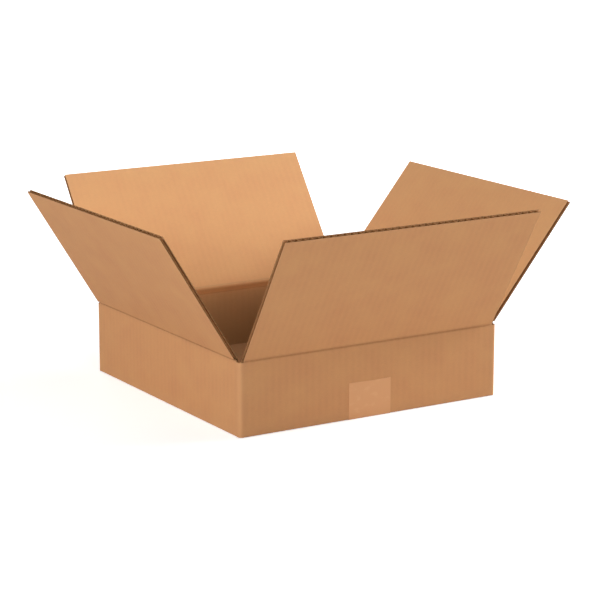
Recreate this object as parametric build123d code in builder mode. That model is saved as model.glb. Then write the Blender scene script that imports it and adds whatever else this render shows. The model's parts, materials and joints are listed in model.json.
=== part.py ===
from build123d import *

import os
from math import cos, radians, sin, tan

# An open, shallow carton of corrugated board. One folded sheet makes the walls, the glue tab
# and the closed bottom, four top flaps stand open on their creases, and one strip of tape
# holds the bottom seam. Lengths are in millimetres. The origin is on the table under the
# middle of the base, +Z is up, and the taped front wall faces -Y.

# The board
board = 4.0                # thickness of the corrugated board
liner = 0.45               # flat paper on each side of it
medium = 0.40              # fluted paper between the two liners
flute_pitch = 7.9          # length of one wave of the fluted paper
glue_line = 1.5            # width of a wave's glued crest
crown_rise = 0.45          # height of the narrowing end of a wave
crown_width = 0.9          # width of its flat end
flank_lean = 45.0          # slant of the fluted paper between its crests
open_share = 0.4           # share of a wave that the cut side edges leave open

# The walls
inside_width = 304.8       # between the left and right walls
inside_depth = 304.8       # between the front and back walls
crease_height = 77.8       # table to the crease of the front and back flaps
crease_rise = 1.5          # the left and right creases are this much higher
upright_fold = 4.0         # outer radius of the upright folds
inner_fold = 0.8           # inner radius of the upright folds
end_slot = 4.8             # outer corner to the cut edge of a front or back flap
side_slot = 5.7            # outer corner to the cut edge of a left or right flap
slot_drop = 1.8            # crease down to the bottom of a corner slot

# The creases
web = 1.2                  # board crushed down to this thickness along a crease
hinge_gap = 0.4            # free height between a wall's lip and its flap's root
crease_zone = 6.0          # length of board next to a crease whose flutes are shut
taper_rise = 2.0           # length over which an end flap's outer face steps in
lay_gap = 0.3              # between two flaps or layers that lie on each other
open_limit = 118.0         # furthest that a flap folds out from upright
close_limit = 90.0         # a flap folded in lies flat

# The top flaps
edge_gap = 1.0             # between the free edges of two closed flaps
side_clear = 0.5           # a flap's cut side to the side of its slot
front_angle = 31.0         # outward lean of each flap as it stands
back_angle = 35.5
left_angle = 32.0
right_angle = 39.5

# The bottom
seam_gap = 1.0             # between the edges of two closed bottom flaps
base_fold = 3.0            # outer radius of the bottom folds
end_lift = 0.1             # the front and back folds hang this much higher
ramp_clear = 0.4           # between the inner layer's ramp and the outer layer's edge
foot_rise = 1.2            # base up to the foot of each upright fold

# The glued joint at the back right corner
tab_width = 35.0           # along the back wall, from its inner corner
tab_thickness = 2.4        # the tab is crushed for gluing
tab_top_drop = 9.0         # crease down to the tab
tab_foot_rise = 3.0        # inner floor up to the tab
tab_slant = 8.0            # the tab's ends slope by this much
joint_round = 1.5          # rounding of the fold behind the raw edge
raw_edge_depth = 2.0       # open flute that shows in the raw edge

# The tape
tape = 0.15                # thickness
tape_width = 50.8
tape_shift = -2.5          # off the seam, towards the left
tape_gap = 0.05            # glue under the tape
tape_front = 39.0          # table to the end of the tape on the front wall
tape_back = 44.0           # and on the back wall

outer_width = inside_width + 2 * board
outer_depth = inside_depth + 2 * board
lip = web / 2
base = tape + tape_gap
upper_layer = base + board + lay_gap
inner_floor = upper_layer + board
side_crease = crease_height + crease_rise

# Closed, the left and right flaps lie on the front and back ones. Half of the step between
# them comes from plates set out from their creases, and half from plates set in.
plate_offset = (board + lay_gap - crease_rise) / 2
side_plate = lip + plate_offset
end_plate = lip - plate_offset


def outward(side):
    return {
        "front": Vector(0, -1, 0),
        "back": Vector(0, 1, 0),
        "left": Vector(-1, 0, 0),
        "right": Vector(1, 0, 0),
    }[side]


def is_end(side):
    return side in ("front", "back")


def reach(side):
    return (outer_depth if is_end(side) else outer_width) / 2


def crease(side):
    return crease_height if is_end(side) else side_crease


def half_span(side):
    if is_end(side):
        return outer_width / 2 - end_slot
    return outer_depth / 2 - side_slot


def wall_section(side):
    # Looking along the wall: local x points out from its outer face and local y is up.
    out = outward(side)
    return Plane(origin=out * reach(side), x_dir=out, z_dir=out.cross(Vector(0, 0, 1)))


def flap_section(side, angle):
    # The same, turned with the flap: the origin is on the hinge line, local y runs up the flap.
    out = outward(side)
    up = Vector(0, 0, 1)
    hinge = out * (reach(side) - lip) + up * crease(side)
    turned = out * cos(radians(angle)) - up * sin(radians(angle))
    return Plane(origin=hinge, x_dir=turned, z_dir=out.cross(up))


def wall_outline(side):
    # One closed outline for the crushed lip, the wall, the bottom fold and the bottom flap.
    lip_centre = crease(side) - 2 * lip - hinge_gap
    seam = -(reach(side) - seam_gap / 2)
    under = upper_layer if is_end(side) else base
    fold_bottom = base + end_lift if is_end(side) else base
    with BuildLine() as outline:
        ThreePointArc((0, lip_centre), (-lip, lip_centre + lip), (-2 * lip, lip_centre))
        Polyline(
            (-2 * lip, lip_centre),
            (-board, lip_centre - board + 2 * lip),
            (-board, under + board),
            (seam, under + board),
            (seam, under),
        )
        if is_end(side):
            ramp_end = -(side_slot - ramp_clear)
            Polyline((seam, under), (ramp_end, under), (-base_fold, fold_bottom))
        else:
            Line((seam, under), (-base_fold, fold_bottom))
        RadiusArc((-base_fold, fold_bottom), (0, fold_bottom + base_fold), -base_fold)
        Line((0, fold_bottom + base_fold), (0, lip_centre))
    return outline.line


def open_clear(distance):
    # Height on a flap at which its outer side, this far from the hinge line, stays clear of
    # the wall when the flap is folded all the way out.
    fold = radians(open_limit)
    return (lip + hinge_gap - distance * cos(fold)) / sin(fold)


def root_outline(side):
    # The flap's crushed root: a thin web round the hinge line that swells to the full board.
    outer = end_plate if is_end(side) else side_plate
    inner = outer - board
    web_top = open_clear(lip)
    outer_start = web_top + taper_rise if is_end(side) else open_clear(outer)
    inner_start = (-inner - lip) * tan(radians(close_limit / 2))
    with BuildLine() as outline:
        ThreePointArc((lip, 0), (0, -lip), (-lip, 0))
        Polyline(
            (-lip, 0),
            (inner, inner_start),
            (inner, crease_zone),
            (outer, crease_zone),
            (outer, outer_start),
            (lip, web_top),
            (lip, 0),
        )
    return outline.line


def trough_sketch(pitch):
    # The space between one wave of the medium and the liner above it.
    liner_face = board / 2 - liner
    crown = -(liner_face - medium)
    mouth = (pitch - glue_line) / 2
    middle = pitch / 4 - medium / (2 * cos(radians(flank_lean)))
    shoulder = crown + crown_rise
    neck = middle + (mouth - middle) * shoulder / liner_face
    with BuildSketch(mode=Mode.PRIVATE) as trough:
        with BuildLine():
            Polyline(
                (mouth, liner_face),
                (neck, shoulder),
                (crown_width / 2, crown),
                (-crown_width / 2, crown),
                (-neck, shoulder),
                (-mouth, liner_face),
                close=True,
            )
        make_face()
    return trough.sketch


def make_flap(side, angle):
    width = 2 * (half_span(side) - side_clear)
    length = reach(side) - lip - edge_gap / 2
    waves = max(1, round(width / flute_pitch - open_share))
    pitch = width / (waves + open_share)
    trough = trough_sketch(pitch)
    outer = end_plate if is_end(side) else side_plate
    section = flap_section(side, angle)
    middle = section.from_local_coords((outer - board / 2, crease_zone))
    cut = Plane(origin=middle, x_dir=section.z_dir, z_dir=section.y_dir)
    with BuildPart() as flap:
        with BuildSketch(section):
            make_face(root_outline(side))
        extrude(amount=width / 2, both=True)
        with BuildSketch(cut):
            Rectangle(width, board)
            with GridLocations(pitch, 0, waves, 1):
                add(trough, mode=Mode.SUBTRACT)
            with GridLocations(pitch, 0, waves + 1, 1):
                add(trough, rotation=180, mode=Mode.SUBTRACT)
        extrude(amount=length - crease_zone)
    return flap


with BuildPart() as box_body:
    # Four walls, each with its bottom flap
    for side in ("front", "back", "left", "right"):
        with BuildSketch(wall_section(side)):
            make_face(wall_outline(side))
        extrude(amount=half_span(side), both=True)

    # Upright folds, between the slots above and below them
    foot = base + foot_rise
    slot_bottom = crease_height - slot_drop
    with BuildSketch(Plane.XY.offset(foot)):
        RectangleRounded(outer_width, outer_depth, min(upright_fold, end_slot, side_slot))
        RectangleRounded(inside_width, inside_depth, inner_fold, mode=Mode.SUBTRACT)
        Rectangle(2 * half_span("front"), outer_depth, mode=Mode.SUBTRACT)
        Rectangle(outer_width, 2 * half_span("left"), mode=Mode.SUBTRACT)
        # The back wall's raw end is square
        with Locations((outer_width / 2, outer_depth / 2)):
            Rectangle(end_slot, board, align=(Align.MAX, Align.MAX))
    extrude(amount=slot_bottom - foot)

    # Glue tab, folded in from the right wall and glued inside the back wall
    tab_foot = inner_floor + tab_foot_rise
    tab_top = crease_height - tab_top_drop
    with BuildSketch(Plane.XZ.offset(-inside_depth / 2)):
        with BuildLine():
            Polyline(
                (inside_width / 2, tab_foot),
                (inside_width / 2, tab_top),
                (inside_width / 2 - tab_width, tab_top - tab_slant),
                (inside_width / 2 - tab_width, tab_foot + tab_slant),
                close=True,
            )
        make_face()
    extrude(amount=tab_thickness)

    # Line of the glued joint: the rounded fold stands behind the back wall's raw end
    with BuildSketch(Plane.XY.offset(foot)):
        with Locations((outer_width / 2, inside_depth / 2)):
            Rectangle(joint_round, joint_round, align=(Align.MAX, Align.MAX))
        with Locations((outer_width / 2 - joint_round, inside_depth / 2 - joint_round)):
            Circle(joint_round, mode=Mode.SUBTRACT)
    extrude(amount=slot_bottom - foot, mode=Mode.SUBTRACT)

    # Open flute in the raw end
    with BuildSketch(Plane.XY.offset(foot)):
        with Locations((outer_width / 2, inside_depth / 2 + liner)):
            Rectangle(raw_edge_depth, board - 2 * liner, align=(Align.MAX, Align.MIN))
    extrude(amount=slot_bottom - foot, mode=Mode.SUBTRACT)
box_body.part.label = "box_body"

leans = {"front": front_angle, "back": back_angle, "left": left_angle, "right": right_angle}
flaps = []
for side, angle in leans.items():
    top_flap = make_flap(side, angle)
    top_flap.part.label = side + "_top_flap"
    flaps.append(top_flap)

# One strip, turned up on the front and back walls
tape_face = outer_depth / 2 + tape_gap
with BuildPart() as bottom_tape:
    with BuildSketch(Plane.YZ.offset(tape_shift)):
        with BuildLine():
            strip = FilletPolyline(
                (-tape_face, tape_front),
                (-tape_face, tape),
                (tape_face, tape),
                (tape_face, tape_back),
                radius=base_fold,
            )
            offset(strip, amount=tape, side=Side.RIGHT)
        make_face()
    extrude(amount=tape_width / 2, both=True)
bottom_tape.part.label = "bottom_tape"

os.makedirs("parts", exist_ok=True)
export_step(box_body.part, "parts/box_body.step")
export_step(bottom_tape.part, "parts/bottom_tape.step")
for top_flap in flaps:
    export_step(top_flap.part, "parts/" + top_flap.part.label + ".step")
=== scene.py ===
import json
import random
from math import asin, cos, exp, pi, radians, sin

import bmesh
import bpy
from mathutils import Matrix, Vector
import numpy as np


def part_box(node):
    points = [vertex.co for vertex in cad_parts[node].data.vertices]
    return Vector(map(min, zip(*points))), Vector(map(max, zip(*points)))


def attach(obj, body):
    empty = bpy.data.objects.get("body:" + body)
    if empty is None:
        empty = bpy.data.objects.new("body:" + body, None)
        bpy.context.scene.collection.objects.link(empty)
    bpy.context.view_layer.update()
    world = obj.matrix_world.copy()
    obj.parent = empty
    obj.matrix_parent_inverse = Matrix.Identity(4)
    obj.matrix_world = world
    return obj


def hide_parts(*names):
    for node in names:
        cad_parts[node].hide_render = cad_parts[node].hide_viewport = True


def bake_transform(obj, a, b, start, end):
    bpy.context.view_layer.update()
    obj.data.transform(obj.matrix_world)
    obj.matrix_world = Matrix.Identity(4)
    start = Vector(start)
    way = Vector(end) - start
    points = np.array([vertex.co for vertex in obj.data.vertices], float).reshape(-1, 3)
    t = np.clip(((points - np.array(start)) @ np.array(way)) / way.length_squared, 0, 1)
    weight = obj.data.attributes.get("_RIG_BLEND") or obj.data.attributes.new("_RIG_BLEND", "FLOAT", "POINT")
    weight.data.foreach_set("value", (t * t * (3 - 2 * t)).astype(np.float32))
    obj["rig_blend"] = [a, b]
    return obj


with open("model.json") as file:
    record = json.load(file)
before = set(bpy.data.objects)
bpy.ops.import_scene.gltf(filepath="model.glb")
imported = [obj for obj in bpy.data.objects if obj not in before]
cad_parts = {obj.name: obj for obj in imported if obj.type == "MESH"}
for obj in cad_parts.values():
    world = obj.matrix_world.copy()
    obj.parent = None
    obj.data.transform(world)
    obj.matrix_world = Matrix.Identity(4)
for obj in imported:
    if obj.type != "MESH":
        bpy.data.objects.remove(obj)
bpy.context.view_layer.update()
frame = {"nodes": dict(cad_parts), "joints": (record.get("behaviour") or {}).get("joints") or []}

# An open, shallow carton of corrugated board, dressed over its CAD solids. All lengths are in metres.
# Each side is modelled as if it were the front one, outside towards -Y, and then turned to its place.

random.seed(12)
scene = bpy.context.scene
scene.view_settings.view_transform = "Standard"

# What all the board shares
boardStock = {
    "paper": 0.0004,            # thickness of the liners and of the fluting
    "flutePitch": 0.0079,       # one wave of the fluting
    "openShare": 0.4,           # share of a wave that the cut sides leave open
    "sink": 0.00006,            # how far the liners sink in between two glued crests
    "sinkFade": 0.003,          # they rise again over this length towards a cut side
    "fray": 0.00007,            # roughness of the cut edges
    "wearWidth": 0.0016,        # how far the wear reaches in from an edge
}

# Painted shade: how the paper is painted darker down the inside of the box
insideShade = {
    "start": 0.0730,            # height where it begins
    "reach": 0.066,             # and it is full this far below
    "power": 0.30,
}


# Sizes read from the CAD frame

def measureSide(turn, side):
    joint = next(j for j in frame["joints"] if j["child"] == side + "_flap")
    flap = frame["nodes"][side + "_top_flap"].data
    lean = asin(abs(max(flap.polygons, key=lambda face: face.area).normal.z))
    place = Matrix.Rotation(turn * pi / 2, 4, "Z")
    hinge = place.inverted() @ Vector(joint["pos_m"])
    upright = Matrix.Rotation(-lean, 4, "X") @ Matrix.Translation(-hinge) @ place.inverted()
    flat = [upright @ v.co for v in flap.vertices]
    rootEnd = 0.01                                   # the flap's crushed root ends below this
    plate = [p for p in flat if p.z > rootEnd]
    width = 2 * max(p.x for p in flat)
    waves = round(width / boardStock["flutePitch"] - boardStock["openShare"])
    return {
        "name": side,
        "place": place,
        "turn": turn,
        "hinge": hinge,
        "lean": lean,
        "width": width,
        "length": max(p.z for p in flat),
        "outer": -min(p.y for p in plate),
        "inner": -max(p.y for p in plate),
        "pitch": width / (waves + boardStock["openShare"]),
        "end": side in ("front", "back"),
    }


sides = [measureSide(turn, side) for turn, side in enumerate(("front", "right", "back", "left"))]
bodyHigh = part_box("box_body")[1]
tapeLow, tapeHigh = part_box("bottom_tape")
reach = bodyHigh.x                                   # middle of the box to the outer face of a wall
board = sides[0]["outer"] - sides[0]["inner"]        # thickness of the board
around = 2 * reach                                   # one wall, along the sheet
waveSwing = (board - 3 * boardStock["paper"]) / 2    # half the height of a full wave of the fluting
tiny = 1e-6                                          # points nearer than this are one point
near = 1e-5                                          # and edges this near a level lie on it

# The folds, as the solids have them
folds = {
    "lip": 0.0006,              # half the thickness that the board is crushed to at a top crease
    "creaseReach": 0.0065,      # the crease strips end this far from their hinge lines
    "cornerRadius": 0.004,      # upright folds, outside
    "cornerInside": 0.0008,     # and inside
    "bottomRadius": 0.0018,     # bottom folds, pressed a little sharper than in the solids
    "endSlot": 0.0048,          # outer corner to the cut edge of a front or back flap
    "sideSlot": 0.0057,         # and of a left or right flap
    "slotBottom": 0.0775,       # corner slots, cut a little less deep than in the solids
    "cornerFoot": 0.0007,       # the upright folds start here
    "outerLayer": 0.0002,       # underside of the left and right bottom flaps
    "innerLayer": 0.0045,       # underside of the front and back ones
    "endFold": 0.0003,          # underside of the front and back bottom folds
    "rampEnd": 0.0053,          # outer face to the end of their ramp up to the inner layer
    "seam": 0.0005,             # half the gap between two closed bottom flaps
    "jointRadius": 0.0015,      # fold behind the raw end of the back wall
    "rawDepth": 0.0020,         # open flute in that end
}


# Small helpers

def soften(t):
    t = min(1.0, max(0.0, t))
    return t * t * (3 - 2 * t)


def spread(start, end, count):
    return [start + (end - start) * i / count for i in range(count + 1)]


def halfSpan(side):
    # Middle of a wall to the slot at its end
    return reach - (folds["endSlot"] if side["end"] else folds["sideSlot"])


def newPaper():
    # A mesh with the sheet's own notes: its map, glued crests, wear, crease lines with their painted shade,
    # and painted shade down inside the box
    bm = bmesh.new()
    for layer in ("across", "run", "glue", "wear", "scoreAndShade", "paintedInsideShade"):
        bm.verts.layers.float.new(layer)
    return bm


def flatten(bm, verts):
    # Notes where points lie on the flat sheet: across it, and up along the flutes
    across, run = bm.verts.layers.float["across"], bm.verts.layers.float["run"]
    for vert in verts:
        vert[across], vert[run] = vert.co.x, vert.co.z


def carry(bm, edges, shift=None, turn=None, run=0.0):
    # Carries the open edge of a sheet on, along a shift or round a fold, and returns the new edge
    made = bmesh.ops.extrude_edge_only(bm, edges=edges)["geom"]
    verts = [g for g in made if isinstance(g, bmesh.types.BMVert)]
    fresh = set(verts)
    if shift is not None:
        bmesh.ops.translate(bm, vec=shift, verts=verts)
    if turn is not None:
        bmesh.ops.rotate(bm, cent=turn[0], matrix=turn[1], verts=verts)
    layer = bm.verts.layers.float["run"]
    for vert in verts:
        vert[layer] += run
    return [g for g in made if isinstance(g, bmesh.types.BMEdge) and fresh.issuperset(g.verts)]


def carryUp(bm, edges, rise):
    return carry(bm, edges, shift=Vector((0, 0, rise)), run=rise)


def laySheet(bm, columns, path, slot=0, faceIn=False):
    # A sheet that spans the columns and follows a path of (y, z) points. Returns its rows, first to last.
    start = [bm.verts.new((x, path[0][0], path[0][1])) for x in columns]
    flatten(bm, start)
    edges = [bm.edges.new(pair) for pair in zip(start, start[1:])]
    before = set(bm.faces)
    rows = [start]
    for (y, z), (nextY, nextZ) in zip(path, path[1:]):
        step = Vector((0, nextY - y, nextZ - z))
        edges = carry(bm, edges, shift=step, run=step.length)
        rows.append(sorted({v for e in edges for v in e.verts}, key=lambda v: v.co.x))
    faces = [f for f in bm.faces if f not in before]
    bmesh.ops.recalc_face_normals(bm, faces=faces)
    bm.normal_update()
    outward = sum(f.normal.y * f.calc_area() for f in faces) < 0
    if outward == faceIn:
        bmesh.ops.reverse_faces(bm, faces=faces)
    for face in faces:
        face.material_index = slot
        face.smooth = True
    return rows


def everything(bm):
    return list(bm.verts) + list(bm.edges) + list(bm.faces)


def bisect(bm, geom, point, normal):
    bmesh.ops.bisect_plane(bm, geom=geom, dist=tiny, plane_co=point, plane_no=normal)


def markGlue(bm, verts, pitch, crest):
    # The liners are glued to every crest
    glue = bm.verts.layers.float["glue"]
    for vert in verts:
        vert[glue] = 0.5 + 0.5 * crest * cos(2 * pi * vert.co.x / pitch)


def sinkAt(side, x, half, crest):
    # Between two crests a liner sinks a little, and less near a cut side, which is x = half.
    # Crest is 1 on the outer liner and -1 on the inner one, which the waves touch half a pitch on.
    low = 0.5 - 0.5 * crest * cos(2 * pi * x / side["pitch"])
    return boardStock["sink"] * low * soften((half - abs(x)) / boardStock["sinkFade"])


def paintInsideShade(bm, verts):
    # Painted shade: the liner is painted darker down inside the box, fading in below the creases
    paintedInsideShade = bm.verts.layers.float["paintedInsideShade"]
    for vert in verts:
        below = (insideShade["start"] - vert.co.z) / insideShade["reach"]
        vert[paintedInsideShade] = min(1.0, max(0.0, below)) ** insideShade["power"]


def markWear(bm, verts, half, top):
    # Cut edges are worn: the sides at x = half, and the free edge at z = top
    wear = bm.verts.layers.float["wear"]
    for vert in verts:
        away = min(half - abs(vert.co.x), abs(top - vert.co.z))
        vert[wear] = exp(-max(0.0, away) / boardStock["wearWidth"])


def makePiece(bm, name, materials):
    mesh = bpy.data.meshes.new(name)
    bm.to_mesh(mesh)
    bm.free()
    for material in materials:
        mesh.materials.append(material)
    piece = bpy.data.objects.new(name, mesh)
    scene.collection.objects.link(piece)
    return piece


def finishSheet(bm, name, materials, thickness, offset=-1.0, moveTo=0.0, even=True):
    # Writes the sheet's map and gives it its thickness, with the rim in the next material slot
    for edge in bm.edges:
        edge.smooth = not edge.is_boundary       # a cut edge stays crisp
    chart = bm.loops.layers.uv.new("sheet")
    across, run = bm.verts.layers.float["across"], bm.verts.layers.float["run"]
    for face in bm.faces:
        for loop in face.loops:
            loop[chart].uv = (loop.vert[across] + moveTo, loop.vert[run])
    piece = makePiece(bm, name, materials)
    thick = piece.modifiers.new("paper", "SOLIDIFY")
    thick.thickness = thickness
    thick.offset = offset
    thick.use_even_offset = even
    thick.material_offset_rim = 1
    return piece


# Finishes

def feed(sockets, values):
    # Links or sets each socket, whichever its value asks for
    for socket, value in zip(sockets, values):
        if isinstance(value, bpy.types.NodeSocket):
            socket.id_data.links.new(value, socket)
        else:
            socket.default_value = value


def node(tree, kind, x, y, **inputs):
    # A new node at (x, y), with its inputs fed by name
    made = tree.nodes.new("ShaderNode" + kind)
    made.location = (x, y)
    feed([made.inputs[key] for key in inputs], inputs.values())
    return made


def noteOn(tree, name, y):
    made = node(tree, "Attribute", -1100, y)
    made.attribute_name = name
    return made.outputs["Fac"]


def noiseOn(vector, scale, detail, roughness, stretch=(1, 1, 1), shift=(0, 0, 0), y=0):
    tree = vector.id_data
    mapping = node(tree, "Mapping", -1100, y, Vector=vector, Scale=stretch, Location=shift)
    return node(tree, "TexNoise", -900, y, Vector=mapping.outputs["Vector"], Scale=scale, Detail=detail,
                Roughness=roughness).outputs["Fac"]


def rangeOn(value, low, high, toLow, toHigh, y=0):
    ends = {"From Min": low, "From Max": high, "To Min": toLow, "To Max": toHigh}
    return node(value.id_data, "MapRange", -700, y, Value=value, **ends).outputs["Result"]


def mathOn(operation, a, b, clamp=False):
    made = node(a.id_data, "Math", -500, 0)
    made.operation, made.use_clamp = operation, clamp
    feed(made.inputs, (a, b))
    return made.outputs["Value"]


def mixOn(factor, a, b, y=0):
    made = node(factor.id_data, "Mix", -300, y)
    made.data_type = "RGBA"
    feed((made.inputs[0], made.inputs[6], made.inputs[7]), (factor, a, b))
    return made.outputs[2]


def paint(red, green, blue):
    # Screen values from 0 to 255, as a shader's linear colour
    return tuple(((c / 255 + 0.055) / 1.055) ** 2.4 for c in (red, green, blue)) + (1.0,)


def startMaterial(name):
    material = bpy.data.materials.new(name)
    material.use_nodes = True
    return material, material.node_tree


def sheetMap(tree):
    chart = node(tree, "UVMap", -1400, 0)
    chart.uv_map = "sheet"
    return chart.outputs["UV"]


def dress(tree, colour, roughness, specular, relief, bump, depth):
    # Colour, sheen and fine relief
    made = node(tree, "Bump", -200, -400, Height=relief, Strength=bump, Distance=depth)
    shader = tree.nodes["Principled BSDF"].inputs
    feed((shader["Base Color"], shader["Roughness"], shader["Specular IOR Level"], shader["Normal"]),
         (colour, roughness, specular, made.outputs["Normal"]))


def kraftLiner(name, look):
    material, tree = startMaterial(name)
    spot = sheetMap(tree)
    move = look["shift"]
    clouds = noiseOn(spot, look["cloudScale"], 3, 0.55, shift=(move, 0, 0), y=300)
    mottle = noiseOn(spot, look["mottleScale"], 4, 0.62, shift=(move, 1, 0), y=100)
    # The machine laid most fibres across the flutes
    fibres = noiseOn(spot, look["fibreScale"], 5, 0.7, stretch=(1, 5.5, 1), shift=(move, 2, 0), y=-100)
    flecks = noiseOn(spot, look["fleckScale"], 2, 0.5, stretch=(1, 2.4, 1), shift=(move, 3, 0), y=-300)

    tone = mixOn(rangeOn(clouds, 0.3, 0.7, 0, 1, y=300), look["yellower"], look["redder"], y=300)
    # Painted shade: the colour turns darker down inside the box
    if "paintedInsideShade" in look:
        tone = mixOn(noteOn(tree, "paintedInsideShade", -1100), tone, look["paintedInsideShade"], y=450)

    # The brightness, as a share: grain, fibres and clouds, then the lines and specks that darken it. The
    # crease lines are crushed paper with painted shade.
    level = mathOn("ADD", rangeOn(mottle, 0.25, 0.75, -look["mottle"], look["mottle"], y=100),
                   rangeOn(fibres, 0.25, 0.75, -look["fibre"], look["fibre"], y=-100))
    level = mathOn("ADD", level, rangeOn(clouds, 0.3, 0.7, look["cloud"], -look["cloud"], y=500))
    patchy = rangeOn(clouds, 0.35, 0.65, 0.3, 1.0, y=-450)
    # Crease lines darken unevenly, crushed paper and painted shade alike
    crushed = rangeOn(mottle, 0.35, 0.65, 0.7, 1.2, y=-1000)
    for note, y, amount, share in (("glue", -500, patchy, "fluteLine"), ("scoreAndShade", -900, crushed, "scoreAndShade")):
        lines = mathOn("MULTIPLY", noteOn(tree, note, y), amount)
        level = mathOn("SUBTRACT", level, mathOn("MULTIPLY", lines, look[share]))
    level = mathOn("SUBTRACT", level, rangeOn(flecks, 0.66, 0.74, 0, look["fleck"], y=-300))
    shaded = node(tree, "VectorMath", -500, 200)
    shaded.operation = "SCALE"
    feed((shaded.inputs["Vector"], shaded.inputs["Scale"]), (tone, mathOn("ADD", level, 1.0)))

    rubbed = mathOn("MULTIPLY", noteOn(tree, "wear", -700), rangeOn(mottle, 0.35, 0.6, 0.2, 1.0, y=-600))
    colour = mixOn(mathOn("MULTIPLY", rubbed, look["wear"]), shaded.outputs["Vector"], look["worn"])
    roughness = rangeOn(mottle, 0.3, 0.7, 0.74, 0.9, y=-800)
    dress(tree, colour, roughness, 0.25, mathOn("ADD", mottle, fibres), look["bump"], 0.00015)
    return material


def cutPaper(name, look):
    # Torn fibres on the cut edges of the liners and the fluting
    material, tree = startMaterial(name)
    spot = node(tree, "TexCoord", -1400, -200).outputs["Object"]
    fibres = noiseOn(spot, 1700, 4, 0.7)
    patches = noiseOn(spot, 160, 2, 0.5, y=-200)
    blend = mathOn("ADD", mathOn("MULTIPLY", fibres, 0.65), mathOn("MULTIPLY", patches, 0.35))
    tone = mixOn(rangeOn(blend, 0.35, 0.65, 0, 1), look["dark"], look["light"])
    dress(tree, tone, 0.95, 0.1, fibres, 0.6, 0.0002)
    return material


def flutedPaper(name, look):
    # The medium is duller and rougher than the liners, streaked along the waves
    material, tree = startMaterial(name)
    spot = sheetMap(tree)
    streaks = noiseOn(spot, 300, 4, 0.65, stretch=(3, 1, 1))
    tone = mixOn(rangeOn(streaks, 0.3, 0.7, 0, 1), look["dark"], look["light"])
    dress(tree, tone, 0.92, 0.15, streaks, 0.4, 0.00015)
    return material


def sealingTape(name, look):
    # Tan film over a tacky back: a soft gloss, with fine creases and a few dull blisters
    material, tree = startMaterial(name)
    spot = sheetMap(tree)
    blisters = noiseOn(spot, 90, 2, 0.5, stretch=(1, 1.6, 1), y=200)
    film = noiseOn(spot, 700, 3, 0.6, stretch=(2.5, 1, 1))
    tone = mixOn(rangeOn(blisters, 0.56, 0.66, 0, 1, y=200), look["stuck"], look["lifted"])
    relief = mathOn("ADD", mathOn("MULTIPLY", blisters, 3.0), film)
    dress(tree, tone, rangeOn(film, 0.3, 0.7, 0.3, 0.42), 0.4, relief, 0.12, 0.0002)
    return material


linerLook = {
    "yellower": paint(210, 155, 105),
    "redder": paint(208, 150, 103),
    "worn": paint(200, 158, 118),
    "cloud": 0.008,             # soft patches, as a share of the brightness
    "cloudScale": 28,
    "mottle": 0.022,            # grain
    "mottleScale": 330,
    "fibre": 0.035,             # fibres laid across the flutes
    "fibreScale": 260,
    "fleck": 0.12,              # darkness of the small specks
    "fleckScale": 620,
    "fluteLine": 0.035,         # darker lines over the glued crests
    "wear": 0.35,               # how light a rubbed fold or edge gets
    "scoreAndShade": 0.34,              # darkness of a crease line: crushed paper and painted shade
    "bump": 0.3,
    "shift": 0.0,               # moves the grain, so that no two papers look the same
}
innerLook = {                   # the liner inside is a little lighter
    **linerLook,
    "yellower": paint(224, 171, 118),
    "redder": paint(223, 166, 116),
    "worn": paint(214, 172, 131),
    "paintedInsideShade": paint(156, 125, 87),    # painted shade, down inside the box
    "fluteLine": 0.02,
    "shift": 3.7,
}
outerKraft = kraftLiner("outerKraft", linerLook)
innerKraft = kraftLiner("innerKraft", innerLook)
# The floor inside the box gets its own painted shade
floorKraft = kraftLiner("floorKraft", {**innerLook, "paintedInsideShade": paint(158, 115, 77), "shift": 5.1})
edgeKraft = cutPaper("edgeKraft", {"dark": paint(112, 76, 44), "light": paint(152, 108, 68)})
flutingEdge = cutPaper("flutingEdge", {"dark": paint(152, 104, 62), "light": paint(200, 152, 104)})
flutingKraft = flutedPaper("flutingKraft", {"dark": paint(136, 92, 54), "light": paint(172, 122, 76)})
tapeFilm = sealingTape("tapeFilm", {"stuck": paint(221, 162, 111), "lifted": paint(224, 167, 116)})
flutingSlots = [flutingKraft, flutingEdge]
linerSlots = [outerKraft, edgeKraft, innerKraft, edgeKraft]
floorSlots = [outerKraft, edgeKraft, floorKraft, edgeKraft]
print("finishes made")


# The top flaps: two liners and the waves between them, cut square

flapShape = {
    "columnsPerWave": 6,
    "rows": (0.020, 0.050, 0.085, 0.120, 0.142, 0.150, 0.1535),   # up from the hinge line
    "wavePoints": 10,           # points on one wave of the fluting
    "waveSlack": 0.05,          # unevenness of the waves, in height
    "waveLean": 0.06,           # and along the board
}


def flapColumns(side, width, perWave):
    return spread(-width / 2, width / 2, round(width / side["pitch"] * perWave))


def frayEnds(verts):
    for vert in verts:
        vert.co.z -= abs(random.gauss(0, boardStock["fray"]))


def waveHeight(side, x, height):
    # The fluting's middle surface over the board's middle, towards the outside. Slow waves that
    # don't keep time with the flutes make it uneven.
    at = x / side["pitch"]
    slack = 1 + flapShape["waveSlack"] * sin(9.7 * at) * sin(2.3 * at)
    lean = flapShape["waveLean"] * sin(1.7 * at)
    return height * min(1.0, slack) * cos(2 * pi * at + lean)


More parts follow.
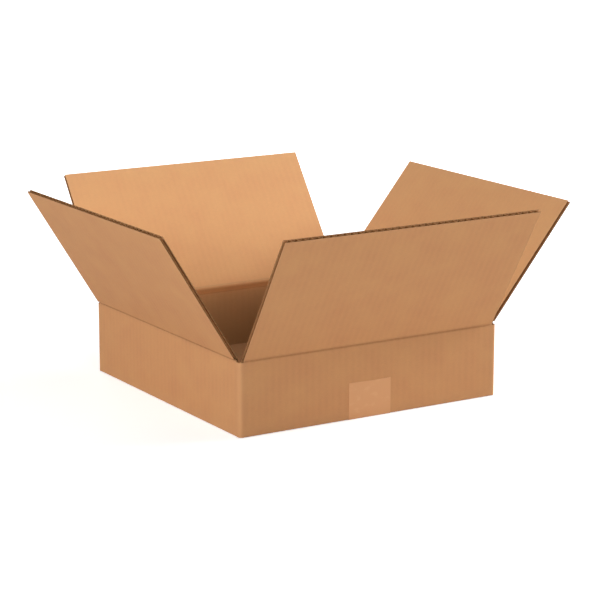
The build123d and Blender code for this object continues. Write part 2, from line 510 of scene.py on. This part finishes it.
def makeFlap(side):
    low = folds["creaseReach"]
    levels = [low] + list(flapShape["rows"]) + [side["length"]]
    hinge = side["hinge"]

    def lean(bm):
        tilt = Matrix.Rotation(side["lean"], 3, "X")
        bmesh.ops.rotate(bm, cent=hinge, matrix=tilt, verts=bm.verts)
        bmesh.ops.transform(bm, matrix=side["place"], verts=bm.verts)

    bm = newPaper()
    for face, crest, slot in ((side["outer"], 1, 0), (side["inner"], -1, 2)):
        path = [(hinge.y - face, hinge.z + level) for level in levels]
        columns = flapColumns(side, side["width"], flapShape["columnsPerWave"])
        rows = laySheet(bm, columns, path, slot, crest < 0)
        verts = [v for row in rows for v in row]
        markGlue(bm, verts, side["pitch"], crest)
        markWear(bm, verts, side["width"] / 2, hinge.z + side["length"])
        for vert in verts:
            vert.co.y += crest * sinkAt(side, vert.co.x, side["width"] / 2, crest)
        frayEnds(rows[-1])
    lean(bm)
    liners = finishSheet(bm, side["name"] + "_flap_liners", linerSlots, boardStock["paper"],
                         moveTo=side["turn"] * around)
    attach(liners, side["name"] + "_flap")
    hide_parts(side["name"] + "_top_flap")

    bm = newPaper()
    middle = (side["outer"] + side["inner"]) / 2
    inset = boardStock["fray"]
    levels = (low, side["length"] / 2, side["length"] - inset)
    path = [(hinge.y - middle, hinge.z + level) for level in levels]
    rows = laySheet(bm, flapColumns(side, side["width"] - 2 * inset, flapShape["wavePoints"]), path)
    for row in rows:
        for vert in row:
            vert.co.y -= waveHeight(side, vert.co.x, waveSwing)
    lean(bm)
    fluting = finishSheet(bm, side["name"] + "_flap_fluting", flutingSlots, boardStock["paper"], offset=0.0,
                          moveTo=side["turn"] * around)
    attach(fluting, side["name"] + "_flap")


for side in sides:
    makeFlap(side)
print("top flaps made")


# The creases: the board runs on from the wall into the flap, crushed along the hinge line

creaseShape = {
    "columnsPerWave": 6,
    "wavePoints": 8,
    "rows": 30,
    "crowding": 0.65,           # how much the rows crowd towards the hinge line
    "bend": (-0.0007, 0.0006),          # the bend, along the board from the hinge line
    "turn": (-0.00145, 0.0005),         # the stretch that turns more and more with the flap
    "lowBend": (-0.0020, -0.0007),      # an end flap's inner liner does so lower down,
    "lowTurn": (-0.0032, 0.0006),       # and stays under the flap's face when that is shut
    "softness": 0.00022,        # rounding of the corners in the section
    "dipStart": -0.0003,        # an end flap's face sets in here, behind the wall's edge
    "dipEnd": 0.0008,
    "grooveStart": -0.0016,     # a side flap's face stands out over a fine groove
    "grooveAt": -0.0006,
    "grooveDepth": 0.00045,
    "riseStart": 0.0010,
    "riseEnd": 0.0021,
    "innerStart": -0.0062,      # inside, the wall's face slopes from here
    "innerTop": -0.0008,        # to a shallow valley along the crease
    "valleyEnd": 0.0006,
    "valley": 0.0003,
    "innerEnd": 0.0062,         # and the flap's face has its own height from here
    "scoreWidth": 0.0008,       # the crushed paper shows as a darker line, with painted shade
    "scoreBlur": 0.0024,        # with a softer line of painted shade round it
    "scoreShare": 0.75,         # the narrow line's share of the two
    "endScore": 0.55,           # and the lines of the end flaps are fainter
    "plainFrom": 0.003,         # from here on, a liner sinks between the crests as on the plain board
    "pucker": 0.00005,          # waves in the crushed board, one for each flute
    "puckerFrom": 0.0006,
    "puckerRise": 0.001,
    "puckerDrift": 5.1,         # they shift a little along the crease
    "puckerSlant": 90,          # and across it
    "press": 0.0011,            # the fluting is pressed this far in from the outer liner at the bend
    "pressDeep": 0.0023,        # and lies within this depth there
    "pressReach": 0.0026,
    "leastWave": 0.00002,
    "fluteInset": 0.0001,       # the fluting ends this far from the liners' cut sides
    "fluteThinning": 0.9,       # crushed fluting is thinner
}


def linerLevel(points, s):
    # Height of a liner over the hinge line, read off straight stretches with softened corners
    total = 0.0
    for shift in (-1, -0.5, 0, 0.5, 1):
        at = s + shift * creaseShape["softness"]
        value = points[0][1] if at <= points[0][0] else points[-1][1]
        for (s0, n0), (s1, n1) in zip(points, points[1:]):
            if s0 <= at <= s1:
                value = n0 + (n1 - n0) * (at - s0) / (s1 - s0)
        total += value / 5
    return total


def creaseLevels(side):
    c, lip = creaseShape, folds["lip"]
    end = folds["creaseReach"]
    if side["end"]:
        outer = [(-end, lip), (c["dipStart"], lip), (c["dipEnd"], side["outer"]), (end, side["outer"])]
    else:
        outer = [
            (-end, lip),
            (c["grooveStart"], lip),
            (c["grooveAt"], lip - c["grooveDepth"]),
            (c["riseStart"], lip),
            (c["riseEnd"], side["outer"]),
            (end, side["outer"]),
        ]
    low = side["inner"] + c["valley"]
    inner = [
        (-end, lip - board),
        (c["innerStart"], lip - board),
        (c["innerTop"], low),
        (c["valleyEnd"], low),
        (c["innerEnd"], side["inner"]),
        (end, side["inner"]),
    ]
    return outer, inner


def makeCrease(side):
    c = creaseShape
    end = folds["creaseReach"]
    hinge = side["hinge"]
    outer, inner = creaseLevels(side)
    # Rows crowd towards the hinge line
    spots = [end * ((1 - c["crowding"]) * t + c["crowding"] * t ** 3) for t in spread(-1, 1, c["rows"])]
    narrowing = 1 - side["width"] / 2 / halfSpan(side)

    def shape(bm, rows, levelAt, bendZone):
        # Puts each row at its height over the hinge line, and then leans it by its share of the bend
        for s, row in zip(spots, rows):
            bend = soften((s - bendZone[0]) / (bendZone[1] - bendZone[0]))
            for vert in row:
                vert.co.y = hinge.y - levelAt(s, vert.co.x)
                vert.co.x *= 1 - narrowing * bend
            tilt = Matrix.Rotation(side["lean"] * bend, 3, "X")
            bmesh.ops.rotate(bm, cent=hinge, matrix=tilt, verts=row)

    lowBend, lowTurn = (c["lowBend"], c["lowTurn"]) if side["end"] else (c["bend"], c["turn"])
    half = side["lean"] / 2
    along = Vector((0, -sin(half), cos(half)))

    def joinFlap(piece, turnZone):
        start, finish = (side["place"] @ (hinge + along * s) for s in turnZone)
        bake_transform(piece, "carton", side["name"] + "_flap", start, finish)

    path = [(hinge.y, hinge.z + s) for s in spots]
    columns = flapColumns(side, 2 * halfSpan(side), c["columnsPerWave"])
    liners = (
        ("_crease", outer, 1, 0, c["bend"], c["turn"]),
        ("_crease_inside", inner, -1, 2, lowBend, lowTurn),
    )
    for name, points, crest, slot, bendZone, turnZone in liners:
        bm = newPaper()
        rows = laySheet(bm, columns, path, slot, crest < 0)
        verts = [v for row in rows for v in row]
        markGlue(bm, verts, side["pitch"], crest)
        markWear(bm, verts, halfSpan(side), hinge.z + 1)     # a strip has no free edge at its top
        scoreAndShade = bm.verts.layers.float["scoreAndShade"]
        # Each row's crease line: crushed paper and painted crease shade
        for s, row in zip(spots, rows):
            off = s - (c["grooveAt"] if crest > 0 and not side["end"] else 0.0)
            sharp, soft = exp(-(off / c["scoreWidth"]) ** 2), exp(-(off / c["scoreBlur"]) ** 2)
            line = c["scoreShare"] * sharp + (1 - c["scoreShare"]) * soft
            for vert in row:
                vert[scoreAndShade] = line * (c["endScore"] if side["end"] else 1.0)
            # Painted shade down the inner face of the wall, below the crease
            if crest < 0 and s < 0:
                paintInsideShade(bm, row)

        def levelAt(s, x, points=points, crest=crest):
            plain = soften((abs(s) - c["plainFrom"]) / c["plainFrom"])
            crushed = soften((abs(s) - c["puckerFrom"]) / c["puckerRise"]) * (1 - plain)
            at = x / side["pitch"]
            wave = sin(2 * pi * at) * sin(c["puckerDrift"] * at + c["puckerSlant"] * s)
            sink = sinkAt(side, x, halfSpan(side), crest) * plain
            return linerLevel(points, s) - crest * (sink + c["pucker"] * crushed * (0.5 + 0.5 * wave))

        shape(bm, rows, levelAt, bendZone)
        bmesh.ops.transform(bm, matrix=side["place"], verts=bm.verts)
        strip = finishSheet(bm, side["name"] + name, linerSlots, boardStock["paper"],
                            moveTo=side["turn"] * around, even=False)
        joinFlap(strip, turnZone)

    bm = newPaper()
    rows = laySheet(bm, flapColumns(side, 2 * (halfSpan(side) - c["fluteInset"]), c["wavePoints"]), path)

    # The fluting bends and turns with the outer liner, pressed up close to it
    def crushedWave(s, x):
        pressed = 1 - soften((abs(s) - c["pressReach"]) / c["pressReach"])
        face, back = linerLevel(outer, s), linerLevel(inner, s)
        top = face - c["press"] * pressed
        bottom = back + (face - c["pressDeep"] - back) * pressed
        height = max(c["leastWave"], (top - bottom - 3 * boardStock["paper"]) / 2)
        return (top + bottom) / 2 + waveHeight(side, x, height)

    shape(bm, rows, crushedWave, c["bend"])
    bmesh.ops.transform(bm, matrix=side["place"], verts=bm.verts)
    thickness = boardStock["paper"] * c["fluteThinning"]
    core = finishSheet(bm, side["name"] + "_crease_fluting", flutingSlots, thickness, offset=0.0,
                       moveTo=side["turn"] * around, even=False)
    joinFlap(core, c["turn"])


for side in sides:
    makeCrease(side)
print("creases made")


# The walls: two liners folded round the corners, with waves between

wallShape = {
    "columnsPerWave": 6,
    "wavePoints": 10,
    "rows": (0.014, 0.030, 0.046, 0.060, 0.068),
    "cornerSegments": 6,
    "cornerStretch": 0.9,       # how much of the sheet's map a rounded corner takes up
    "foldSteps": 6,
    "jointSteps": 5,            # steps round the fold behind the raw end
    "jointTail": 0.002,         # and the sheet that runs on after it
    "sinkRise": 0.004,          # the liners begin to sink over this height
    "foldWear": 0.55,           # how rubbed the upright folds are
    "footWear": 0.7,            # and the bottom ones
    "wearWidth": 0.0022,
}
ringLow = folds["endFold"] + folds["bottomRadius"]
wallTop = min(side["hinge"].z for side in sides) - folds["creaseReach"]
allCorners = {(right, back) for right in (False, True) for back in (False, True)}


def ringOf(half, radius, low, high, corners=allCorners):
    # Four walls with rounded upright folds at the chosen corners
    bm = newPaper()
    bmesh.ops.create_cube(bm, size=1.0)
    bmesh.ops.scale(bm, vec=(2 * half, 2 * half, high - low), verts=bm.verts)
    bmesh.ops.translate(bm, vec=(0, 0, (high + low) / 2), verts=bm.verts)
    ends = [f for f in bm.faces if abs(f.normal.z) > 0.5]
    bmesh.ops.delete(bm, geom=ends, context="FACES_ONLY")
    uprights = []
    for edge in bm.edges:
        a, b = (v.co for v in edge.verts)
        if abs(a.z - b.z) > near and (a.x > 0, a.y > 0) in corners:
            uprights.append(edge)
    bmesh.ops.bevel(bm, geom=uprights, offset=radius, segments=wallShape["cornerSegments"], profile=0.5,
                    affect="EDGES", material=-1)
    return bm


def cutColumns(bm, half):
    # Narrow columns on the flat walls, a cut at every slot line, and the rows
    level = [e for e in bm.edges if abs(e.verts[0].co.z - e.verts[1].co.z) < near]
    long = [edge for edge in level if edge.calc_length() > half]
    cuts = round(2 * half / boardStock["flutePitch"] * wallShape["columnsPerWave"])
    bmesh.ops.subdivide_edges(bm, edges=long, cuts=cuts, use_grid_fill=True)
    for side in sides:
        out = side["place"].to_3x3() @ Vector((0, -1, 0))
        along = side["place"].to_3x3() @ Vector((1, 0, 0))
        for where in (-halfSpan(side), halfSpan(side)):
            flat = [f for f in bm.faces if abs(f.normal.dot(out)) > 0.99]
            faces = [f for f in flat if f.calc_center_median().dot(out) > 0]
            geom = list({g for f in faces for g in (f, *f.edges, *f.verts)})
            bisect(bm, geom, along * where, along)
    for height in wallShape["rows"]:
        bisect(bm, everything(bm), (0, 0, height), (0, 0, 1))


def mapRing(bm, half, radius):
    # Where each point lies on the flat sheet: walls in a row, each corner between two of them
    across, run = bm.verts.layers.float["across"], bm.verts.layers.float["run"]
    flat = half - radius
    for vert in bm.verts:
        for side in sides:
            p = side["place"].inverted() @ vert.co
            if p.y < 0 and abs(p.x) <= -p.y + tiny:
                bulge = max(0.0, abs(p.x) - flat)
                corner = bulge / max(radius, tiny) * (reach - flat) * wallShape["cornerStretch"]
                x = min(abs(p.x), flat) + corner
                vert[across] = side["turn"] * around + (x if p.x > 0 else -x)
        vert[run] = vert.co.z


def openEdges(bm, level, side=None):
    # The open edges at one height, of one wall between its slots, or of the corners
    found = []
    for edge in bm.edges:
        if not edge.is_boundary or any(abs(v.co.z - level) > near for v in edge.verts):
            continue
        owner = None
        for each in sides:
            points = [each["place"].inverted() @ v.co for v in edge.verts]
            if all(p.y < 0 and abs(p.x) <= halfSpan(each) + tiny for p in points):
                owner = each
        if owner is side or (owner and side and owner["name"] == side["name"]):
            found.append(edge)
    return found


def sinkWalls(bm, crest):
    glue = bm.verts.layers.float["glue"]
    for vert in bm.verts:
        for side in sides:
            p = side["place"].inverted() @ vert.co
            if p.y < 0 and abs(p.x) < halfSpan(side) and p.z > ringLow:
                vert[glue] = 0.5 + 0.5 * crest * cos(2 * pi * p.x / side["pitch"])
                inward = side["place"].to_3x3() @ Vector((0, 1, 0))
                fade = soften((p.z - ringLow) / wallShape["sinkRise"])
                vert.co += inward * crest * sinkAt(side, p.x, halfSpan(side), crest) * fade


def roundFold(bm, edges, side, lowest):
    # Carries a wall's foot round its bottom fold, down to the fold's lowest height
    place, radius, steps = side["place"], folds["bottomRadius"], wallShape["foldSteps"]
    centre = place @ Vector((0, -reach + radius, lowest + radius))
    turn = place.to_3x3() @ Matrix.Rotation(pi / 2 / steps, 3, "X") @ place.to_3x3().inverted()
    for step in range(steps):
        edges = carry(bm, edges, turn=(centre, turn), run=-radius * pi / 2 / steps)


def reachStrips(bm):
    # The higher creases' walls run on, up to the strips that bend with the flaps
    for side in sides:
        rise = side["hinge"].z - folds["creaseReach"] - wallTop
        if rise > tiny:
            carryUp(bm, openEdges(bm, wallTop, side), rise)


def wearWalls(bm):
    # The upright and bottom folds are rubbed
    wear = bm.verts.layers.float["wear"]
    for vert in bm.verts:
        aside = reach - folds["cornerRadius"] - min(abs(vert.co.x), abs(vert.co.y))
        above = vert.co.z - ringLow
        rubbed = max(wallShape["foldWear"] * exp(-max(0.0, aside) / wallShape["wearWidth"]),
                     wallShape["footWear"] * exp(-max(0.0, above) / wallShape["wearWidth"]))
        vert[wear] = max(vert[wear], rubbed)


def finishWalls(bm, name, slot):
    for face in bm.faces:
        face.material_index = slot
        face.smooth = True
    piece = finishSheet(bm, name, linerSlots, boardStock["paper"])
    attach(piece, "carton")
    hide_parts("box_body")


def makeOuterLiner():
    # At the back right corner the right wall folds in behind the back wall's raw end
    bm = ringOf(reach, folds["cornerRadius"], ringLow, wallTop, allCorners - {(True, True)})
    turnStart = reach - board - folds["jointRadius"]
    bisect(bm, everything(bm), (0, turnStart, 0), (0, 1, 0))
    middles = {f: f.calc_center_median() for f in bm.faces}
    beyond = [f for f, middle in middles.items() if middle.y > turnStart and middle.x > reach - near]
    bmesh.ops.delete(bm, geom=beyond, context="FACES")
    cutColumns(bm, reach)
    mapRing(bm, reach, folds["cornerRadius"])
    edges = [e for e in bm.edges if e.is_boundary and all(
        abs(v.co.y - turnStart) < near and v.co.x > reach - near for v in e.verts)]
    centre = Vector((reach - folds["jointRadius"], turnStart, 0))
    turn = Matrix.Rotation(pi / 2 / wallShape["jointSteps"], 3, "Z")
    for step in range(wallShape["jointSteps"]):
        edges = carry(bm, edges, turn=(centre, turn))
    carry(bm, edges, shift=Vector((-wallShape["jointTail"], 0, 0)))
    carryUp(bm, openEdges(bm, wallTop), folds["slotBottom"] - wallTop)
    carryUp(bm, openEdges(bm, ringLow), folds["cornerFoot"] - ringLow)
    reachStrips(bm)
    for side in sides:
        lowest = folds["endFold"] if side["end"] else folds["outerLayer"]
        edges = openEdges(bm, ringLow, side)
        drop = ringLow - lowest - folds["bottomRadius"]
        if drop > tiny:
            edges = carryUp(bm, edges, -drop)
        roundFold(bm, edges, side, lowest)
    bmesh.ops.remove_doubles(bm, verts=bm.verts, dist=tiny)
    bmesh.ops.recalc_face_normals(bm, faces=bm.faces)
    sinkWalls(bm, 1)
    wearWalls(bm)
    finishWalls(bm, "wall_outer_liner", 0)


def makeInnerLiner():
    half = reach - board
    floor = folds["innerLayer"] + board
    bm = ringOf(half, folds["cornerInside"], floor, wallTop)
    cutColumns(bm, half)
    mapRing(bm, half, folds["cornerInside"])
    carryUp(bm, openEdges(bm, wallTop), folds["slotBottom"] - wallTop)
    carryUp(bm, openEdges(bm, floor), folds["cornerFoot"] - floor)
    reachStrips(bm)
    for side in sides:
        if not side["end"]:
            carryUp(bm, openEdges(bm, floor, side), folds["outerLayer"] + board - floor)
    bmesh.ops.remove_doubles(bm, verts=bm.verts, dist=tiny)
    bmesh.ops.recalc_face_normals(bm, faces=bm.faces)
    bmesh.ops.reverse_faces(bm, faces=bm.faces)
    sinkWalls(bm, -1)
    # The back wall goes on to its raw end, over the fold of the right wall
    path = [(-half, folds["cornerFoot"]), (-half, folds["slotBottom"])]
    rows = laySheet(bm, [-reach, -half], path, 2, True)
    bmesh.ops.transform(bm, matrix=sides[2]["place"], verts=[v for row in rows for v in row])
    # Painted shade down the inside of the walls
    paintInsideShade(bm, bm.verts)
    finishWalls(bm, "wall_inner_liner", 2)


def makeWaves():
    # Fluting of the walls, with the medium folded round the corners
    bm = newPaper()
    y = -reach + board / 2
    cornerTurn = Matrix.Rotation(pi / 2 / wallShape["cornerSegments"], 3, "Z")
    for side, following in zip(sides, sides[1:] + sides[:1]):
        half = halfSpan(side)
        runs = [(-half + boardStock["fray"], half - boardStock["fray"],
                 folds["innerLayer"] + board, side["hinge"].z - folds["creaseReach"])]
        if side["name"] == "back":
            runs.append((-reach + folds["rawDepth"], -half, folds["cornerFoot"], folds["slotBottom"]))
        for left, right, low, high in runs:
            count = max(4, round((right - left) / side["pitch"] * wallShape["wavePoints"]))
            columns = spread(left, right, count)
            rows = laySheet(bm, columns, [(y, low), (y, high - boardStock["fray"])])
            verts = [v for row in rows for v in row]
            for vert in verts:
                vert.co.y -= waveHeight(side, vert.co.x, waveSwing)
            bmesh.ops.transform(bm, matrix=side["place"], verts=verts)
        if side["name"] != "right":
            known = set(bm.verts)
            low, high = folds["cornerFoot"], folds["slotBottom"] - 2 * boardStock["fray"]
            pair = [bm.verts.new((half, y, z)) for z in (low, high)]
            flatten(bm, pair)
            turnAt = reach - folds["cornerRadius"]
            edges = carry(bm, [bm.edges.new(pair)], shift=Vector((turnAt - half, 0, 0)))
            centre = Vector((turnAt, -turnAt, 0))
            for step in range(wallShape["cornerSegments"]):
                edges = carry(bm, edges, turn=(centre, cornerTurn))
            carry(bm, edges, shift=Vector((0, turnAt - halfSpan(following), 0)))
            verts = [v for v in bm.verts if v not in known]
            bmesh.ops.transform(bm, matrix=side["place"], verts=verts)
    for face in bm.faces:
        face.smooth = True
    waves = finishSheet(bm, "wall_fluting", flutingSlots, boardStock["paper"], offset=0.0)
    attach(waves, "carton")


makeOuterLiner()
makeInnerLiner()
makeWaves()
print("walls made")


# The glue tab: the right wall's end, crushed, and glued inside the back wall

tabShape = {
    "start": -0.1524,           # along the back wall, seen from behind
    "width": 0.035,
    "face": -0.1500,            # its inner face, with the back wall turned to the front
    "thickness": 0.0024,
    "low": 0.0115,
    "high": 0.0688,
    "slant": 0.008,             # its ends slope by this much
    "columns": 24,
    "rows": 6,
}


def makeTab():
    t = tabShape
    side = sides[2]
    middle = (t["low"] + t["high"]) / 2
    columns = spread(t["start"], t["start"] + t["width"], t["columns"])
    swing = (t["thickness"] - 3 * boardStock["paper"]) / 2
    back = t["face"] - t["thickness"]
    sheets = (
        ("glue_tab_liners", linerSlots, -1.0, ((t["face"], 2, True, 0.0), (back, 0, False, 0.0))),
        ("glue_tab_fluting", flutingSlots, 0.0, (((t["face"] + back) / 2, 0, False, swing),)),
    )
    for name, materials, offset, layers in sheets:
        bm = newPaper()
        for y, slot, faceIn, lift in layers:
            path = [(y, z) for z in spread(t["low"], t["high"], t["rows"])]
            rows = laySheet(bm, columns, path, slot, faceIn)
            for vert in [v for row in rows for v in row]:
                along = (vert.co.x - t["start"]) / t["width"]
                vert.co.z = middle + (vert.co.z - middle) * (1 - along * t["slant"] / (t["high"] - middle))
                vert.co.y -= lift * cos(2 * pi * vert.co.x / side["pitch"])
        bmesh.ops.transform(bm, matrix=side["place"], verts=bm.verts)
        # Painted shade, as on the inside of the back wall
        paintInsideShade(bm, bm.verts)
        tab = finishSheet(bm, name, materials, boardStock["paper"], offset=offset, moveTo=around)
        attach(tab, "carton")


makeTab()
print("glue tab made")


# The bottom flaps, the inner pair over the outer one

bottomShape = {
    "columnsPerWave": 4,
    "wavePoints": 8,
    "rows": 6,
    "fluteStart": 0.008,        # outer face of the wall to the fluting
    "fluteEnd": 0.0001,         # and the fluting to the flap's edge at the seam
}


def makeBottom():
    bm = newPaper()
    for side in sides:
        columns = flapColumns(side, 2 * halfSpan(side), bottomShape["columnsPerWave"])
        under = folds["innerLayer"] if side["end"] else folds["outerLayer"]
        fold = -reach + folds["bottomRadius"]
        if side["end"]:
            lower = [(fold, folds["endFold"]), (-reach + folds["rampEnd"], under)]
        else:
            lower = [(fold, under)]
        lower += [(y, under) for y in spread(lower[-1][0], -folds["seam"], bottomShape["rows"])[1:]]
        upper = [(y, under + board) for y in spread(-reach + board, -folds["seam"], bottomShape["rows"])]
        for path, slot, crest in ((lower, 0, 1), (upper, 2, -1)):
            before = set(bm.faces)
            rows = laySheet(bm, columns, path, slot)
            faces = [f for f in bm.faces if f not in before]
            bm.normal_update()
            if (sum(f.normal.z for f in faces) > 0) == (crest > 0):
                bmesh.ops.reverse_faces(bm, faces=faces)
            verts = [v for row in rows for v in row]
            markGlue(bm, verts, side["pitch"], crest)
            bmesh.ops.transform(bm, matrix=side["place"], verts=verts)
    # Painted shade for the floor inside the box
    paintInsideShade(bm, bm.verts)
    bottom = finishSheet(bm, "bottom_flap_liners", floorSlots, boardStock["paper"])
    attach(bottom, "carton")
    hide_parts("box_body")

    bm = newPaper()
    for side in sides:
        width = 2 * (halfSpan(side) - boardStock["fray"])
        middle = (folds["innerLayer"] if side["end"] else folds["outerLayer"]) + board / 2
        ends = (-reach + bottomShape["fluteStart"], -folds["seam"] - bottomShape["fluteEnd"])
        path = [(y, middle) for y in ends]
        rows = laySheet(bm, flapColumns(side, width, bottomShape["wavePoints"]), path)
        verts = [v for row in rows for v in row]
        for vert in verts:
            vert.co.z -= waveHeight(side, vert.co.x, waveSwing)
        bmesh.ops.transform(bm, matrix=side["place"], verts=verts)
    waves = finishSheet(bm, "bottom_fluting", flutingSlots, boardStock["paper"], offset=0.0)
    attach(waves, "carton")


makeBottom()
print("bottom made")


# The tape: one strip under the seam, turned up on the front and back walls

tapeShape = {
    "thickness": 0.00015,
    "columns": 40,
    "endRows": 12,              # on each wall
    "floorRows": 10,            # and under the box
    "foldRadius": 0.002,
    "foldSteps": 8,
    "teeth": 0.0005,            # height of the teeth that the cutter left
    "toothPitch": 0.0013,
}


def makeTape():
    bm = newPaper()
    columns = spread(tapeLow.x, tapeHigh.x, tapeShape["columns"])
    radius, edge = tapeShape["foldRadius"], tapeHigh.y
    frontTop = max(v.co.z for v in frame["nodes"]["bottom_tape"].data.vertices if v.co.y < 0)
    path = [(-edge, z) for z in spread(frontTop, radius, tapeShape["endRows"])]
    turns = spread(0, pi / 2, tapeShape["foldSteps"])
    arc = [(-edge + radius * (1 - cos(a)), radius * (1 - sin(a))) for a in turns]
    path += arc[1:]
    path += [(y, 0.0) for y in spread(-edge + radius, edge - radius, tapeShape["floorRows"])[1:]]
    path += [(-y, z) for y, z in reversed(arc)][1:]
    path += [(edge, z) for z in spread(radius, tapeHigh.z, tapeShape["endRows"])[1:]]
    rows = laySheet(bm, columns, path)
    bm.normal_update()
    if rows[3][5].normal.y > 0:          # a point on the front wall, which has to face out
        bmesh.ops.reverse_faces(bm, faces=bm.faces)
    for row in (rows[0], rows[-1]):
        for vert in row[1:-1]:
            step = (vert.co.x / tapeShape["toothPitch"]) % 1.0
            vert.co.z -= tapeShape["teeth"] * abs(2 * step - 1)
    tape = finishSheet(bm, "bottom_tape_strip", [tapeFilm, tapeFilm], tapeShape["thickness"])
    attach(tape, "carton")
    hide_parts("bottom_tape")


makeTape()
print("tape made")


# Floor, light and camera

studio = {
    "floorHalf": 14.0,
    "floorDrop": 0.00005,       # keeps the floor clear of the tape
    "floorColour": (0.86, 0.86, 0.86, 1.0),
    "nearGlow": 0.53,           # what the camera sees on top of the light that falls on the floor
    "farGlow": 1.0,
    "nearReach": 0.4,           # the glow rises from here
    "farReach": 1.3,            # to here, away from the box
    "ambient": 0.04,
    "lampAim": (0, 0, 0.08),
}
cameraSetup = {
    "position": (-1.2209, -2.0088, 0.6326),
    "heading": -31.485,         # degrees, seen from above
    "pitch": 12.949,            # degrees, down
    "lens": 134.5,
    "sensor": 36.0,
}
lamps = {
    "left": {"at": (-2.69, -0.72, 1.20), "size": 1.0, "power": 27.0},
    "leftHigh": {"at": (-2.46, 0.0, 1.80), "size": 1.2, "power": 20.0},
    "right": {"at": (2.78, 0.0, 1.20), "size": 0.9, "power": 41.0},
    "rightHigh": {"at": (2.37, -0.64, 1.80), "size": 1.2, "power": 51.0},
    "front": {"at": (-0.74, -2.77, 0.96), "size": 0.9, "power": 17.0},
    "top": {"at": (0.0, -0.26, 3.07), "size": 1.6, "power": 6.0},
    "back": {"at": (0.51, 2.91, 0.60), "size": 1.6, "power": 38.0},
}


def seenRays(tree):
    # 1 for the rays that show the background: to the camera, in a gloss and through glass
    rays = node(tree, "LightPath", -900, 0).outputs
    seen = mathOn("ADD", rays["Is Camera Ray"], rays["Is Glossy Ray"])
    return mathOn("ADD", seen, rays["Is Transmission Ray"], clamp=True)


def makeFloor():
    material, tree = startMaterial("paleFloor")
    tree.nodes.clear()
    away = node(tree, "VectorMath", -900, -200)
    away.operation = "LENGTH"
    feed(away.inputs, [node(tree, "TexCoord", -1100, -200).outputs["Object"]])
    rise = rangeOn(away.outputs["Value"], studio["nearReach"], studio["farReach"],
                   studio["nearGlow"], studio["farGlow"])
    diffuse = node(tree, "BsdfDiffuse", -300, 100, Color=studio["floorColour"])
    glow = node(tree, "Emission", -300, -100, Strength=mathOn("MULTIPLY", seenRays(tree), rise))
    both = node(tree, "AddShader", 0, 0)
    feed(both.inputs, (diffuse.outputs["BSDF"], glow.outputs["Emission"]))
    node(tree, "OutputMaterial", 200, 0, Surface=both.outputs["Shader"])
    bm = bmesh.new()
    bmesh.ops.create_grid(bm, x_segments=1, y_segments=1, size=studio["floorHalf"])
    bmesh.ops.translate(bm, vec=(0, 0, -studio["floorDrop"]), verts=bm.verts)
    floor = makePiece(bm, "floor", [material])


def makeSky():
    world = bpy.data.worlds.new("studio")
    scene.world = world
    world.use_nodes = True
    tree = world.node_tree
    tree.nodes.clear()
    white = node(tree, "Background", -200, 100, Color=(1, 1, 1, 1), Strength=1.0)
    soft = node(tree, "Background", -200, -100, Color=(1, 1, 1, 1), Strength=studio["ambient"])
    mix = node(tree, "MixShader", 0, 0)
    feed(mix.inputs, (seenRays(tree), soft.outputs["Background"], white.outputs["Background"]))
    node(tree, "OutputWorld", 200, 0, Surface=mix.outputs["Shader"])


def makeLamps():
    for name, setup in lamps.items():
        light = bpy.data.lights.new(name, "AREA")
        light.shape = "DISK"
        light.size = setup["size"]
        light.energy = setup["power"]
        lamp = bpy.data.objects.new(name, light)
        lamp.location = setup["at"]
        lamp.visible_camera = False
        aim = Vector(studio["lampAim"]) - lamp.location
        lamp.rotation_euler = aim.to_track_quat("-Z", "Y").to_euler()
        scene.collection.objects.link(lamp)


def makeCamera():
    data = bpy.data.cameras.new("camera")
    data.lens = cameraSetup["lens"]
    data.sensor_width = cameraSetup["sensor"]
    data.clip_start, data.clip_end = 0.1, 50.0
    camera = bpy.data.objects.new("camera", data)
    camera.location = cameraSetup["position"]
    camera.rotation_euler = (radians(90 - cameraSetup["pitch"]), 0, radians(cameraSetup["heading"]))
    scene.collection.objects.link(camera)
    scene.camera = camera


makeFloor()
makeSky()
makeLamps()
makeCamera()
print("studio made")
